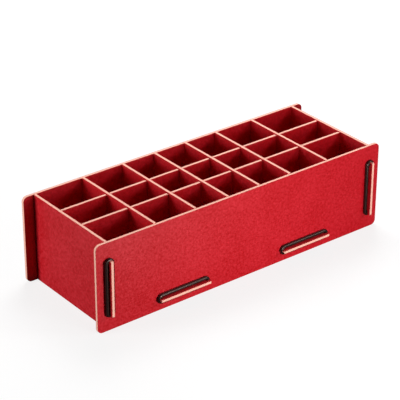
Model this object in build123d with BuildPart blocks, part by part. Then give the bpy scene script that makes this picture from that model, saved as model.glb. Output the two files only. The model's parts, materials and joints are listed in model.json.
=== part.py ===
from build123d import *
from math import cos, radians, sin
import os

# Pencil box of thin red-faced fibreboard. The front and back panels are held to the end panels and
# to the base by hooked tabs, and a round rubber ring stretched behind the hooks locks each tab.
# Two long and six cross dividers, halved into each other, stand loose inside as one grid.
#
# Millimetres. +X runs along the box, +Y to the back and +Z up. The origin is on the floor, under
# the middle of the box.

# Walls and base
box_length = 300.0  # front and back panels, end to end
box_depth = 105.0  # over the outer faces of the front and back panels
box_height = 80.0  # all four walls, from the floor to the top edge
board = 2.7  # thickness of every board
corner_radius = 4.5  # corners of the front and back panels
end_inset = 10.1  # from the end of the front panel in to the end panel's outer face
base_lift = 9.95  # from the floor up to the base's underside
base_play = 0.2  # between each end of the base and its end panel

# Hooked tabs, and the slots that they pass through
tab_length = 51.2
base_tab_spacing = 130.2  # between the middles of the base's two tabs
slot_play = 0.15  # round a tab in its slot
notch_depth = 3.3  # how far a notch cuts into each end of a tab
hook_thickness = 2.7  # board left outside the notch
hook_radius = 1.2  # outer corners of a tab

# Rubber rings
cord_diameter = 3.1
cord_flats = 16  # round the cord's section
turn_flats = 12  # along each half turn of a ring
ring_play = 0.1  # between a ring and the boards that it bears on

# Divider grid
middle_column = 30.3  # clear width of the middle column of compartments
inner_column = 30.9  # clear width of the columns beside it
outer_column = 38.1  # clear width of the next ones out; the end columns take the rest
middle_row = 27.0  # clear width of the middle row; the outer rows take the rest
cross_proud = 0.5  # how far the cross dividers stand above the walls
long_drop = 0.6  # how far the long dividers stay below the walls
divider_play = 0.3  # between the ends of a divider and the walls
lap_play = 0.15  # each side of a board in the slot that it crosses
lap_gap = 0.4  # between the closed ends of two crossing slots

# Places that follow from the sizes above
wall_y = box_depth / 2 - board / 2
inner_depth = box_depth - 2 * board
end_x = box_length / 2 - end_inset - board / 2
inner_length = 2 * end_x - board
base_z = base_lift + board / 2
base_top = base_lift + board
base_tab_x = base_tab_spacing / 2
notch_width = cord_diameter + 2 * ring_play
tab_reach = board + notch_width + hook_thickness

cross_x_inner = middle_column / 2 + board / 2
cross_x_middle = cross_x_inner + inner_column + board
cross_x_outer = cross_x_middle + outer_column + board
cross_places = (-cross_x_outer, -cross_x_middle, -cross_x_inner, cross_x_inner, cross_x_middle, cross_x_outer)
long_y = middle_row / 2 + board / 2
long_places = (-long_y, long_y)
cross_top = box_height + cross_proud
long_top = box_height - long_drop
lap_z = (base_top + long_top) / 2
lap_width = board + 2 * lap_play


def save(piece, name):
    """Label a finished piece and write it to its own file."""
    piece.part.label = name
    export_step(piece.part, f"parts/{name}.step")
    print(f"{name}: {piece.part.volume:.0f} mm3")


def hooked_tab():
    """Outline of one tab, which starts on the board's edge at y = 0 and points along +y.

    It is straight where it passes through the wall. Outside the wall a notch at each end takes the
    rubber ring, and the board beyond the notches is the hook that keeps the ring on.
    """
    notch_x = tab_length / 2 - notch_depth / 2
    notch_y = board + notch_width / 2
    with BuildSketch() as outline:
        with Locations((0, tab_reach / 2)):
            Rectangle(tab_length, tab_reach)
        with Locations((-notch_x, notch_y), (notch_x, notch_y)):
            Rectangle(notch_depth, notch_width, mode=Mode.SUBTRACT)
        fillet(outline.vertices().group_by(Axis.Y)[-1], hook_radius)
    return outline.sketch


def long_wall(y):
    """Front or back panel: rounded corners, and a slot for each tab of the end panels and base."""
    slot_length = tab_length + 2 * slot_play
    slot_width = board + 2 * slot_play
    with BuildPart() as wall:
        with BuildSketch(Plane.XZ.offset(-y)):
            with Locations((0, box_height / 2)):
                RectangleRounded(box_length, box_height, corner_radius)
            with Locations((-end_x, box_height / 2), (end_x, box_height / 2)):
                Rectangle(slot_width, slot_length, mode=Mode.SUBTRACT)
            with Locations((-base_tab_x, base_z), (base_tab_x, base_z)):
                Rectangle(slot_length, slot_width, mode=Mode.SUBTRACT)
        extrude(amount=board / 2, both=True)
    return wall


def end_wall(x):
    """End panel: as high as the long walls, with one hooked tab through each of them."""
    to_front = Location((-inner_depth / 2, box_height / 2), 90)
    to_back = Location((inner_depth / 2, box_height / 2), -90)
    with BuildPart() as wall:
        with BuildSketch(Plane.YZ.offset(x)):
            with Locations((0, box_height / 2)):
                Rectangle(inner_depth, box_height)
            with Locations(to_front, to_back):
                add(hooked_tab())
        extrude(amount=board / 2, both=True)
    return wall


def base():
    """Base panel: a raised floor that fills the space inside the walls, with two tabs a side."""
    to_front = [Location((x, -inner_depth / 2), 180) for x in (-base_tab_x, base_tab_x)]
    to_back = [Location((x, inner_depth / 2)) for x in (-base_tab_x, base_tab_x)]
    with BuildPart() as panel:
        with BuildSketch(Plane.XY.offset(base_z)):
            Rectangle(inner_length - 2 * base_play, inner_depth)
            with Locations(to_front + to_back):
                add(hooked_tab())
        extrude(amount=board / 2, both=True)
    return panel


def long_divider(y):
    """Long divider: stands on the base, with a slot from the top for each cross divider."""
    height = long_top - base_top
    slot_bottom = lap_z - lap_gap / 2
    slot_depth = long_top - slot_bottom
    with BuildPart() as divider:
        with BuildSketch(Plane.XZ.offset(-y)):
            with Locations((0, base_top + height / 2)):
                Rectangle(inner_length - 2 * divider_play, height)
            with Locations([(x, slot_bottom + slot_depth / 2) for x in cross_places]):
                Rectangle(lap_width, slot_depth, mode=Mode.SUBTRACT)
        extrude(amount=board / 2, both=True)
    return divider


def cross_divider(x):
    """Cross divider: stands on the base, with a slot from below for each long divider."""
    height = cross_top - base_top
    slot_top = lap_z + lap_gap / 2
    slot_depth = slot_top - base_top
    with BuildPart() as divider:
        with BuildSketch(Plane.YZ.offset(x)):
            with Locations((0, base_top + height / 2)):
                Rectangle(inner_depth - 2 * divider_play, height)
            with Locations([(y, base_top + slot_depth / 2) for y in long_places]):
                Rectangle(lap_width, slot_depth, mode=Mode.SUBTRACT)
        extrude(amount=board / 2, both=True)
    return divider


def rubber_ring():
    """Rubber ring stretched round the neck of a tab, here round the origin and along x.

    Its two runs lie along the sides of the tab and its ends turn round the notches. Small flats
    make up the round of the cord and of the turns, which keeps the eight rings light.
    """
    half_width = board / 2 + ring_play + cord_diameter / 2
    run = tab_length / 2 - notch_depth
    corners = [(0, -half_width)]
    for side in (1, -1):
        for step in range(turn_flats + 1):
            angle = radians(180 * step / turn_flats - 90)
            corners.append((side * (run + half_width * cos(angle)), side * half_width * sin(angle)))
    with BuildPart() as ring:
        with BuildLine() as centreline:
            Polyline(corners, close=True)
        with BuildSketch(Plane.YZ):
            with Locations((-half_width, 0)):
                RegularPolygon(cord_diameter / 2, cord_flats, major_radius=False, rotation=180 / cord_flats)
        sweep(path=centreline.line, transition=Transition.RIGHT)
    return ring.part


def ring_on_tab(shape, middle, along, outwards):
    """The ring's shape laid round a tab that is long in one direction and points outwards in the other."""
    with BuildPart() as ring:
        with Locations(Plane(origin=middle, x_dir=along, z_dir=outwards)):
            add(shape)
    return ring


os.makedirs("parts", exist_ok=True)
save(long_wall(-wall_y), "front_panel")
save(long_wall(wall_y), "back_panel")
save(end_wall(-end_x), "left_end_panel")
save(end_wall(end_x), "right_end_panel")
save(base(), "base_panel")

save(long_divider(-long_y), "front_long_divider")
save(long_divider(long_y), "rear_long_divider")
for number, x in enumerate(cross_places, start=1):
    save(cross_divider(x), f"cross_divider_{number}")

ring_shape = rubber_ring()
ring_y = box_depth / 2 + ring_play + cord_diameter / 2
for wall_name, facing in (("front", -1), ("back", 1)):
    for side_name, side in (("left", -1), ("right", 1)):
        on_end = (side * end_x, facing * ring_y, box_height / 2)
        end_ring = ring_on_tab(ring_shape, on_end, (0, 0, 1), (0, facing, 0))
        save(end_ring, f"{wall_name}_{side_name}_end_ring")
        on_base = (side * base_tab_x, facing * ring_y, base_z)
        base_ring = ring_on_tab(ring_shape, on_base, (1, 0, 0), (0, facing, 0))
        save(base_ring, f"{wall_name}_{side_name}_base_ring")
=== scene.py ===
# %% [markdown]
# # A pencil box of thin red boards, dressed for rendering
#
# The real box comes flat: thirteen boards cut from one thin sheet of fibreboard that is lacquered
# red on both faces and left raw on its cut edges. The front and back panels are held by hooked
# tabs, and each tab is locked by a round rubber ring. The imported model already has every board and
# ring at its right size and place, so this script only has to give them their edges, surfaces and
# light.

# %% The frame
import json
import math

import bmesh
import bpy
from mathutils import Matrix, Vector


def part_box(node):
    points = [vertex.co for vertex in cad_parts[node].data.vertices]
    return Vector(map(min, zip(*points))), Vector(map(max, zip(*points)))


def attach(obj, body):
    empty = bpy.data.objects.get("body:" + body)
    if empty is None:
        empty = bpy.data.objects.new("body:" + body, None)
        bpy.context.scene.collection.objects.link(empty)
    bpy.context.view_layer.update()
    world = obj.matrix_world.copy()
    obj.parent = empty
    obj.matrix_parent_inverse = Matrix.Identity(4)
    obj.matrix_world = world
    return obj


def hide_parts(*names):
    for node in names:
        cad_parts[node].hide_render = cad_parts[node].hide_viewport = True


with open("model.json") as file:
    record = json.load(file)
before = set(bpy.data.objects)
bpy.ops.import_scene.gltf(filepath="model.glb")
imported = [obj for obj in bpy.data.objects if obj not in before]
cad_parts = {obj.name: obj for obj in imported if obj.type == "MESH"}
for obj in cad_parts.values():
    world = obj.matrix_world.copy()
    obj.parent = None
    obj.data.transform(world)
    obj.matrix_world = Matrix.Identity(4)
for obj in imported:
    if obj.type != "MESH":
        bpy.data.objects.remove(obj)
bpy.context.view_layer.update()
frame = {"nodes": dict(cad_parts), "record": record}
scene = bpy.context.scene
cad_nodes = frame["nodes"]
MM = 0.001

# %% [markdown]
# ## Camera
#
# A long lens far away keeps the box's edges almost parallel, as a catalogue photograph does. A wide
# lens close by would show the same sides, but it would swell the near corner.

# %% Camera
camera_data = bpy.data.cameras.new("photo_camera")
camera_data.sensor_width = 36.0
camera_data.lens = 157.3
camera_data.clip_start = 0.1
camera_data.clip_end = 20.0
camera = bpy.data.objects.new("photo_camera", camera_data)
camera.location = (-0.8122, -1.0275, 0.7488)
camera.rotation_euler = [math.radians(angle) for angle in (61.93, -0.12, -38.05)]
scene.collection.objects.link(camera)
scene.camera = camera
print("camera stands", round(camera.location.length, 2), "m away")

# %% [markdown]
# ## Helpers for materials
#
# Colours are picked as sRGB hex values, as in any paint program, but Blender's shaders add light in
# linear values, so one function turns one into the other. A second one adds a node, sets its values
# and joins its inputs in one call, which keeps each recipe readable. Sockets that share a name are
# counted instead: a Math node's values start at input 0, and a Mix node of colours takes them at
# inputs 6 and 7 and gives its result at output 2.

# %% Helpers for materials
def linear(hex_colour):
    """The linear RGBA value of an sRGB colour such as C8303A."""
    channels = [int(hex_colour[start:start + 2], 16) / 255 for start in (0, 2, 4)]
    curve = [c / 12.92 if c <= 0.04045 else ((c + 0.055) / 1.055) ** 2.4 for c in channels]
    return (*curve, 1.0)


def node(tree, kind, settings=None, **inputs):
    """Add a node; settings are its properties, and inputs are values or sockets.

    An input is named as its socket is, with _ for a space, or by i and the socket's number.
    """
    made = tree.nodes.new(kind)
    for name, value in (settings or {}).items():
        setattr(made, name, value)
    for name, value in inputs.items():
        counted = name[0] == "i" and name[1:].isdigit()
        socket = made.inputs[int(name[1:]) if counted else name.replace("_", " ")]
        if isinstance(value, bpy.types.NodeSocket):
            tree.links.new(value, socket)
        else:
            socket.default_value = value
    return made


def new_material(name, **even):
    """A material with its tree and its shader, which gets what is even all over the surface."""
    material = bpy.data.materials.new(name)
    material.use_nodes = True
    tree = material.node_tree
    tree.nodes.clear()
    shader = node(tree, "ShaderNodeBsdfPrincipled", **even)
    node(tree, "ShaderNodeOutputMaterial", Surface=shader.outputs["BSDF"])
    return material, tree, shader


def per_mm(size):
    """The scale of a noise whose blots are about this many millimetres across."""
    return 1 / (size * MM)


print("the lacquer's red in linear values:", [round(value, 3) for value in linear("D61D2D")])

# %% [markdown]
# ## Red lacquer
#
# The faces are a satin lacquer rolled thinly on the sheet. The film is paler and duller in some
# spots than in others, so one noise varies both the colour and the gloss, and a slow cloud varies
# them from one part of a board to the next. The roller also leaves a fine pebble, which breaks up
# the reflections. The real spots and pebble are about a millimetre across, and they are drawn at
# two, because finer ones wouldn't show in the picture. A lacquer is a coloured body under its own
# smooth skin, which is what the Principled shader's base colour and specular layer are, so it needs
# no second shader for a coat.

# %% Red lacquer
CLOUD_SHARE = 0.3  # how much the cloud counts next to the spots
lacquer, tree, shader = new_material("satin_red_lacquer", IOR=1.5)
place = node(tree, "ShaderNodeTexCoord").outputs["Object"]
spots = node(tree, "ShaderNodeTexNoise", Vector=place, Scale=per_mm(2.2), Detail=2.0, Roughness=0.6)
cloud = node(tree, "ShaderNodeTexNoise", Vector=place, Scale=per_mm(38), Detail=2.0)
film = node(tree, "ShaderNodeMath", {"operation": "MULTIPLY_ADD"},
            i0=cloud.outputs["Fac"], i1=CLOUD_SHARE, i2=spots.outputs["Fac"])
# The noises seldom leave the middle of their range, so the limits below lie well inside it.
tint = node(tree, "ShaderNodeMapRange", Value=film.outputs["Value"], From_Min=0.35, From_Max=0.95)
colour = node(tree, "ShaderNodeMix", {"data_type": "RGBA"}, Factor=tint.outputs["Result"],
              i6=linear("AE0006"), i7=linear("D61D2D"))
tree.links.new(colour.outputs[2], shader.inputs["Base Color"])
dullness = node(tree, "ShaderNodeMapRange", Value=film.outputs["Value"],
                From_Min=0.45, From_Max=0.95, To_Min=0.32, To_Max=0.53)
tree.links.new(dullness.outputs["Result"], shader.inputs["Roughness"])
pebble = node(tree, "ShaderNodeTexNoise", Vector=place, Scale=per_mm(1.8), Detail=2.0)
bump = node(tree, "ShaderNodeBump", Height=pebble.outputs["Fac"], Strength=0.5, Distance=0.2 * MM)
tree.links.new(bump.outputs["Normal"], shader.inputs["Normal"])
print("lacquer nodes:", len(tree.nodes))

# %% [markdown]
# ## Raw cut edge
#
# The cut shows the pale core of pressed wood fibres. It is matt and slightly uneven. The fibres are
# drawn as clumps of a millimetre, because single ones are too fine to show. Next to the two faces
# the press packs the fibres tighter, and a little lacquer has crept over the corner, so the pale
# band is darker and redder along both sides. Strips of faces with a material of their own could
# show that, but with a hard line between them. An attribute named across can fade it instead: it
# tells the recipe how far across the thickness a point lies, from -1 at one face to 1 at the other.

# %% Raw cut edge
raw_edge, tree, shader = new_material("raw_fibreboard_edge", Roughness=0.85, Specular_IOR_Level=0.2)
place = node(tree, "ShaderNodeTexCoord").outputs["Object"]
fibres = node(tree, "ShaderNodeTexNoise", Vector=place, Scale=per_mm(1.0), Detail=3.0,
              Roughness=0.6)
core = node(tree, "ShaderNodeMix", {"data_type": "RGBA"}, Factor=fibres.outputs["Fac"],
            i6=linear("F5B4A0"), i7=linear("FDC7B3"))
across = node(tree, "ShaderNodeAttribute", {"attribute_name": "across"}).outputs["Fac"]
from_middle = node(tree, "ShaderNodeMath", {"operation": "ABSOLUTE"}, i0=across)
rim = node(tree, "ShaderNodeMapRange", {"interpolation_type": "SMOOTHSTEP"},
           Value=from_middle.outputs["Value"], From_Min=0.5, From_Max=1.0)
colour = node(tree, "ShaderNodeMix", {"data_type": "RGBA"}, Factor=rim.outputs["Result"],
              i6=core.outputs[2], i7=linear("C4423C"))
tree.links.new(colour.outputs[2], shader.inputs["Base Color"])
bump = node(tree, "ShaderNodeBump", Height=fibres.outputs["Fac"], Strength=0.4, Distance=0.1 * MM)
tree.links.new(bump.outputs["Normal"], shader.inputs["Normal"])
print("edge nodes:", len(tree.nodes))

# %% [markdown]
# ## Rubber
#
# The rings are solid black rubber cord with a brown cast. Its skin is smooth and neither glossy nor
# dull, so each ring carries one soft highlight along the cord. A very slight unevenness, about a
# millimetre across, keeps that from looking drawn with a ruler. It is rubber all through, so again
# one shader is enough.

# %% Rubber
rubber, tree, shader = new_material("black_rubber_cord", Roughness=0.38, IOR=1.65,
                                    Specular_Tint=linear("FFDCD2"))
place = node(tree, "ShaderNodeTexCoord").outputs["Object"]
uneven = node(tree, "ShaderNodeTexNoise", Vector=place, Scale=per_mm(1.2), Detail=3.0)
colour = node(tree, "ShaderNodeMix", {"data_type": "RGBA"}, Factor=uneven.outputs["Fac"],
              i6=linear("120907"), i7=linear("20120F"))
tree.links.new(colour.outputs[2], shader.inputs["Base Color"])
bump = node(tree, "ShaderNodeBump", Height=uneven.outputs["Fac"], Strength=0.05, Distance=0.1 * MM)
tree.links.new(bump.outputs["Normal"], shader.inputs["Normal"])
print("rubber nodes:", len(tree.nodes))

# %% [markdown]
# ## Shape of a board
#
# A cut board has no knife-sharp corners: its arrises are broken by a tenth of a millimetre, and
# that thin line catches the light. A Bevel modifier could break them too, but bmesh does it at once
# and leaves a plain mesh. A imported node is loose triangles, so each board starts as a copy whose
# doubled points are merged and whose flat parts are made whole again.

# %% Shape of a board
ARRIS = 0.12 * MM
SAME_POINT = 0.001 * MM
SAME_PLANE = math.radians(0.5)
SHARP_EDGE = math.radians(30)


def broken_shape(name):
    """The shape of a packed board with whole faces and broken arrises."""
    shape = bmesh.new()
    shape.from_mesh(cad_nodes[name].data)
    bmesh.ops.remove_doubles(shape, verts=shape.verts, dist=SAME_POINT)
    bmesh.ops.dissolve_limit(shape, angle_limit=SAME_PLANE, verts=shape.verts, edges=shape.edges)
    sharp = [edge for edge in shape.edges if edge.calc_face_angle(0) > SHARP_EDGE]
    bmesh.ops.bevel(shape, geom=sharp, offset=ARRIS, segments=2, profile=0.5, affect="EDGES")
    return shape


print("arrises broken by mm:", ARRIS / MM)

# %% [markdown]
# ## Surface of a board
#
# Each face takes the lacquer or the raw edge by the way it points. Only rounded faces are shaded
# smooth: a flat one would borrow the tilt of its broken arris and look dented. For the same reason
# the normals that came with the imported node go, because they were made for its plain shape.

# %% Surface of a board
FACE_AXIS = {"front_panel": 1, "back_panel": 1, "left_end_panel": 0, "right_end_panel": 0,
             "base_panel": 2, "front_long_divider": 1, "rear_long_divider": 1}
CROSS_DIVIDER_AXIS = 0
FACING = 0.9  # how nearly a lacquered face points along its board's axis
FLAT = 0.9999  # how nearly a flat face points along any axis; a rounded one doesn't
SHADED_SHARP = math.radians(60)


def finished_mesh(name):
    """The mesh of a board with its two finishes, its shading and its attribute across."""
    axis = FACE_AXIS.get(name, CROSS_DIVIDER_AXIS)
    shape = broken_shape(name)
    for face in shape.faces:
        face.material_index = 0 if abs(face.normal[axis]) > FACING else 1
    bmesh.ops.triangulate(shape, faces=shape.faces)
    mesh = bpy.data.meshes.new(f"{name}_finished")
    shape.to_mesh(mesh)
    shape.free()
    mesh.materials.append(lacquer)
    mesh.materials.append(raw_edge)
    low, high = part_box(name)
    middle, half = (low[axis] + high[axis]) / 2, (high[axis] - low[axis]) / 2
    across = mesh.attributes.new("across", "FLOAT", "POINT")
    shares = [(vertex.co[axis] - middle) / half for vertex in mesh.vertices]
    across.data.foreach_set("value", shares)
    mesh.attributes.remove(mesh.attributes["custom_normal"])
    mesh.set_sharp_from_angle(angle=SHADED_SHARP)
    for face in mesh.polygons:
        face.use_smooth = max(abs(part) for part in face.normal) < FLAT
    return mesh


long_boards = [name for name, axis in FACE_AXIS.items() if axis == 1]
print("lacquered to the front and back:", long_boards)

# %% [markdown]
# ## Boards
#
# The thirteen boards differ only in shape, so one loop dresses them all. Each finished board
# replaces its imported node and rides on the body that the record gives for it: the walls and the
# base stay still, and the dividers lift out.

# %% Boards
bodies = frame["record"]["behaviour"]["bodies"]
body_of = {name: body for body, names in bodies.items() for name in names}


def board(name):
    """A finished board in place of the plain node."""
    piece = bpy.data.objects.new(f"{name}_finished", finished_mesh(name))
    scene.collection.objects.link(piece)
    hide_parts(name)
    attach(piece, body_of[name])
    return piece


boards = [board(name) for name in cad_nodes if not name.endswith("_ring")]
print("boards:", len(boards), "triangles:", sum(len(piece.data.polygons) for piece in boards))

# %% [markdown]
# ## Rubber rings
#
# Eight equal rings lock the tabs: four stand upright on the end panels and four lie along the base.
# Their places are the corners of two rectangles, so Geometry Nodes can lay them all with one tree.
# Its inputs are the sizes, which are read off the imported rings.

# %% Sizes of the rings
end_low, end_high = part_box("front_left_end_ring")
base_low, base_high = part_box("front_left_base_ring")
cord = end_high.y - end_low.y
turn_radius = (end_high.x - end_low.x - cord) / 2
ring_sizes = {
    "Cord": cord,
    "Turn Radius": turn_radius,
    "Straight Run": end_high.z - end_low.z - cord - 2 * turn_radius,
    "Front To Back": -(end_low.y + end_high.y),
    "End Spacing": -(end_low.x + end_high.x),
    "End Height": (end_low.z + end_high.z) / 2,
    "Base Spacing": -(base_low.x + base_high.x),
    "Base Height": (base_low.z + base_high.z) / 2,
}
print("rings, mm:", {name: round(size / MM, 2) for name, size in ring_sizes.items()})

# %% [markdown]
# A stretched ring is a circle pulled apart at its middle. So the path starts as a circle, and every
# point on the right half moves right by half the straight run, and every point on the left half
# moves left. Fifty sides put no corner on the line where it is pulled apart. A small circle swept
# along that path makes the cord.

# %% Tree for the rings
PATH_SIDES = 50
CORD_SIDES = 20
ring_tree = bpy.data.node_groups.new("rings_round_tabs", "GeometryNodeTree")
sockets = ring_tree.interface
for name in ring_sizes:
    sockets.new_socket(name, in_out="INPUT", socket_type="NodeSocketFloat")
sockets.new_socket("Rubber", in_out="INPUT", socket_type="NodeSocketMaterial")
sockets.new_socket("Rings", in_out="OUTPUT", socket_type="NodeSocketGeometry")
given = node(ring_tree, "NodeGroupInput").outputs

circle = node(ring_tree, "GeometryNodeCurvePrimitiveCircle",
              Resolution=PATH_SIDES, Radius=given["Turn Radius"])
point = node(ring_tree, "GeometryNodeInputPosition")
position = node(ring_tree, "ShaderNodeSeparateXYZ", Vector=point.outputs[0])
side = node(ring_tree, "ShaderNodeMath", {"operation": "SIGN"}, i0=position.outputs["X"])
half_run = node(ring_tree, "ShaderNodeMath", {"operation": "MULTIPLY"},
                i0=given["Straight Run"], i1=0.5)
pull = node(ring_tree, "ShaderNodeMath", {"operation": "MULTIPLY"},
            i0=side.outputs[0], i1=half_run.outputs[0])
offset = node(ring_tree, "ShaderNodeCombineXYZ", X=pull.outputs[0])
loop = node(ring_tree, "GeometryNodeSetPosition",
            Geometry=circle.outputs["Curve"], Offset=offset.outputs[0])
cord_radius = node(ring_tree, "ShaderNodeMath", {"operation": "MULTIPLY"}, i0=given["Cord"], i1=0.5)
section = node(ring_tree, "GeometryNodeCurvePrimitiveCircle",
               Resolution=CORD_SIDES, Radius=cord_radius.outputs[0])
swept = node(ring_tree, "GeometryNodeCurveToMesh",
             Curve=loop.outputs[0], Profile_Curve=section.outputs["Curve"])
smooth = node(ring_tree, "GeometryNodeSetShadeSmooth", Geometry=swept.outputs[0])
print("nodes for one ring:", len(ring_tree.nodes))

# %% [markdown]
# The loop lies flat at first. One quarter turn sets it against the wall for the base's tabs, and
# another stands it upright for the end panels' tabs. A grid of four corners then carries each kind.

# %% Places for the rings
def four_rings(spacing, height, turn):
    """The ring turned so, at the corners of a rectangle of this spacing and at this height."""
    lift = node(ring_tree, "ShaderNodeCombineXYZ", Z=given[height])
    turned = node(ring_tree, "GeometryNodeTransform", Geometry=smooth.outputs[0],
                  Translation=lift.outputs[0], Rotation=[math.radians(angle) for angle in turn])
    corners = node(ring_tree, "GeometryNodeMeshGrid", Size_X=given[spacing],
                   Size_Y=given["Front To Back"], Vertices_X=2, Vertices_Y=2)
    return node(ring_tree, "GeometryNodeInstanceOnPoints",
                Points=corners.outputs[0], Instance=turned.outputs[0])


upright = four_rings("End Spacing", "End Height", (90, 90, 0))
lying = four_rings("Base Spacing", "Base Height", (90, 0, 0))
both = node(ring_tree, "GeometryNodeJoinGeometry")
for four in (upright, lying):
    ring_tree.links.new(four.outputs[0], both.inputs[0])
real = node(ring_tree, "GeometryNodeRealizeInstances", Geometry=both.outputs[0])
coated = node(ring_tree, "GeometryNodeSetMaterial",
              Geometry=real.outputs[0], Material=given["Rubber"])
node(ring_tree, "NodeGroupOutput", Rings=coated.outputs[0])
print("nodes for all eight:", len(ring_tree.nodes))

# %% [markdown]
# A modifier knows its inputs by identifier, so each size is set that way before the object is first
# evaluated. The result is then read off as a plain mesh, because the model is exported without
# modifiers.

# %% Rings
rings = bpy.data.objects.new("rubber_rings", bpy.data.meshes.new("rubber_rings"))
scene.collection.objects.link(rings)
maker = rings.modifiers.new("rings_round_tabs", "NODES")
maker.node_group = ring_tree
for socket in ring_tree.interface.items_tree:
    if socket.in_out == "INPUT":
        maker[socket.identifier] = rubber if socket.name == "Rubber" else ring_sizes[socket.name]
evaluated = rings.evaluated_get(bpy.context.evaluated_depsgraph_get())
rings.data = bpy.data.meshes.new_from_object(evaluated)
rings.modifiers.remove(maker)
rings.data.materials.pop(index=0)  # Realize Instances leaves an empty slot before the rubber's
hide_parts(*[name for name in cad_nodes if name.endswith("_ring")])
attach(rings, "box")
used = rings.data.polygons[0].material_index
print("rings:", len(rings.data.polygons), "faces of", rings.data.materials[used].name)

# %% [markdown]
# ## Floor
#
# Everything stands on a pale sweep of paper. A curved backdrop would hide the line where the paper
# ends, but only from one side. This sheet is flat and eight metres across instead, and where its
# end does show, it is as white as what lies behind it.

# %% Floor
FLOOR_HALF = 4.0
corners = [(x * FLOOR_HALF, y * FLOOR_HALF, 0) for x, y in ((-1, -1), (1, -1), (1, 1), (-1, 1))]
floor_mesh = bpy.data.meshes.new("floor")
floor_mesh.from_pydata(corners, [], [(0, 1, 2, 3)])
floor = bpy.data.objects.new("floor", floor_mesh)
scene.collection.objects.link(floor)
print("floor, m:", list(floor.dimensions))

# %% [markdown]
# ## Paper of the floor
#
# Product pictures show the floor as plain white. More light could do that, but it would bleach the
# box, so what the camera sees of the floor gets some light of its own, and the box is lit by the
# lamps alone. Near the box that light is weak enough to keep the soft shadow, and further out it is
# full white, so the floor meets the surroundings without a line. To light that bounces on towards
# the box the paper is darker, because the real box gets little light from below. The lacquer
# mirrors only a small share of the white, which otherwise lies on the red as a grey veil.

# %% Paper of the floor
GLOW_RISES, GLOW_FULL = 0.2, 0.8  # metres from the middle of the box
GLOW_NEAR_BOX = 0.82
MIRRORED = 0.03
paper, tree, shader = new_material("pale_paper_sweep", Roughness=0.9, Emission_Color=(1, 1, 1, 1))
path = node(tree, "ShaderNodeLightPath")
seen_or_not = node(tree, "ShaderNodeMix", {"data_type": "RGBA"},
                   Factor=path.outputs["Is Camera Ray"], i6=linear("404040"), i7=linear("6A6A6A"))
tree.links.new(seen_or_not.outputs[2], shader.inputs["Base Color"])
place = node(tree, "ShaderNodeTexCoord").outputs["Object"]
outwards = node(tree, "ShaderNodeVectorMath", {"operation": "LENGTH"}, i0=place)
white = node(tree, "ShaderNodeMapRange", {"interpolation_type": "SMOOTHSTEP"},
             Value=outwards.outputs["Value"], From_Min=GLOW_RISES, From_Max=GLOW_FULL,
             To_Min=GLOW_NEAR_BOX, To_Max=1.0)
mirrored = node(tree, "ShaderNodeMath", {"operation": "MULTIPLY"},
                i0=path.outputs["Is Glossy Ray"], i1=MIRRORED)
glow = node(tree, "ShaderNodeMath", {"operation": "MULTIPLY_ADD"},
            i0=path.outputs["Is Camera Ray"], i1=white.outputs["Result"],
            i2=mirrored.outputs["Value"])
tree.links.new(glow.outputs["Value"], shader.inputs["Emission Strength"])
floor_mesh.materials.append(paper)
print("paper nodes:", len(tree.nodes))

# %% [markdown]
# ## Surroundings
#
# The surroundings are white in the same way: full white to the camera and through anything clear,
# a small share of it to the lacquer's gloss, and no other light on the box. A white backdrop behind
# the box could do the same, but it would be missing from other sides.

# %% Surroundings
world = bpy.data.worlds.new("white_surroundings")
scene.world = world
world.use_nodes = True
tree = world.node_tree
tree.nodes.clear()
path = node(tree, "ShaderNodeLightPath")
seen = node(tree, "ShaderNodeMath", {"operation": "MAXIMUM"},
            i0=path.outputs["Is Camera Ray"], i1=path.outputs["Is Transmission Ray"])
mirrored = node(tree, "ShaderNodeMath", {"operation": "MULTIPLY"},
                i0=path.outputs["Is Glossy Ray"], i1=MIRRORED)
strength = node(tree, "ShaderNodeMath", {"operation": "MAXIMUM"},
                i0=seen.outputs["Value"], i1=mirrored.outputs["Value"])
sky = node(tree, "ShaderNodeBackground", Color=(1, 1, 1, 1), Strength=strength.outputs["Value"])
node(tree, "ShaderNodeOutputWorld", Surface=sky.outputs["Background"])
print("nodes of the surroundings:", len(tree.nodes))

# %% [markdown]
# ## Lamps
#
# All lamps are soft boxes, because bare bulbs would give hard shadows. The front is lit nearly
# square on, which leaves the upper sides of the lower tabs dark. A small lamp low down and close to
# the box gives the front its sheen, stronger at the left than at the right, and a high one on the
# right draws the highlight along the lying rings. The left end is lit from behind, so the ear of
# the back panel keeps its deep shadow. A high lamp at the back right brightens the pale top edges
# and reaches the compartments only by the sides that the camera doesn't see, so they sink into a
# dark red. The last one is for the right end, which is seen only from other sides.

# %% Lamps
AIM = Vector((0, 0, 0.04))  # half-way up the box


def soft_lamp(name, place, size, power):
    """A square soft box of this size in metres that faces the box."""
    light = bpy.data.lights.new(name, "AREA")
    light.shape = "SQUARE"
    light.size = size
    light.energy = power
    lamp = bpy.data.objects.new(name, light)
    lamp.location = place
    lamp.rotation_euler = (AIM - Vector(place)).to_track_quat("-Z", "Y").to_euler()
    scene.collection.objects.link(lamp)


soft_lamp("front_lamp", place=(-0.03, -0.62, 0.18), size=0.22, power=1.5)
soft_lamp("low_front_lamp", place=(0.01, -0.40, 0.05), size=0.08, power=0.66)
soft_lamp("high_right_lamp", place=(0.60, -0.67, 0.55), size=0.24, power=2.3)
soft_lamp("left_lamp", place=(-0.74, 0.25, 0.20), size=0.3, power=4.2)
soft_lamp("top_lamp", place=(0.26, 0.33, 0.73), size=0.4, power=6.0)
soft_lamp("right_lamp", place=(0.60, 0.42, 0.22), size=0.3, power=1.5)

# %% [markdown]
# ## Finish
#
# The Standard view keeps each colour about as it was picked, where a filmic one would mute the red.

# %% Finish
scene.view_settings.view_transform = "Standard"
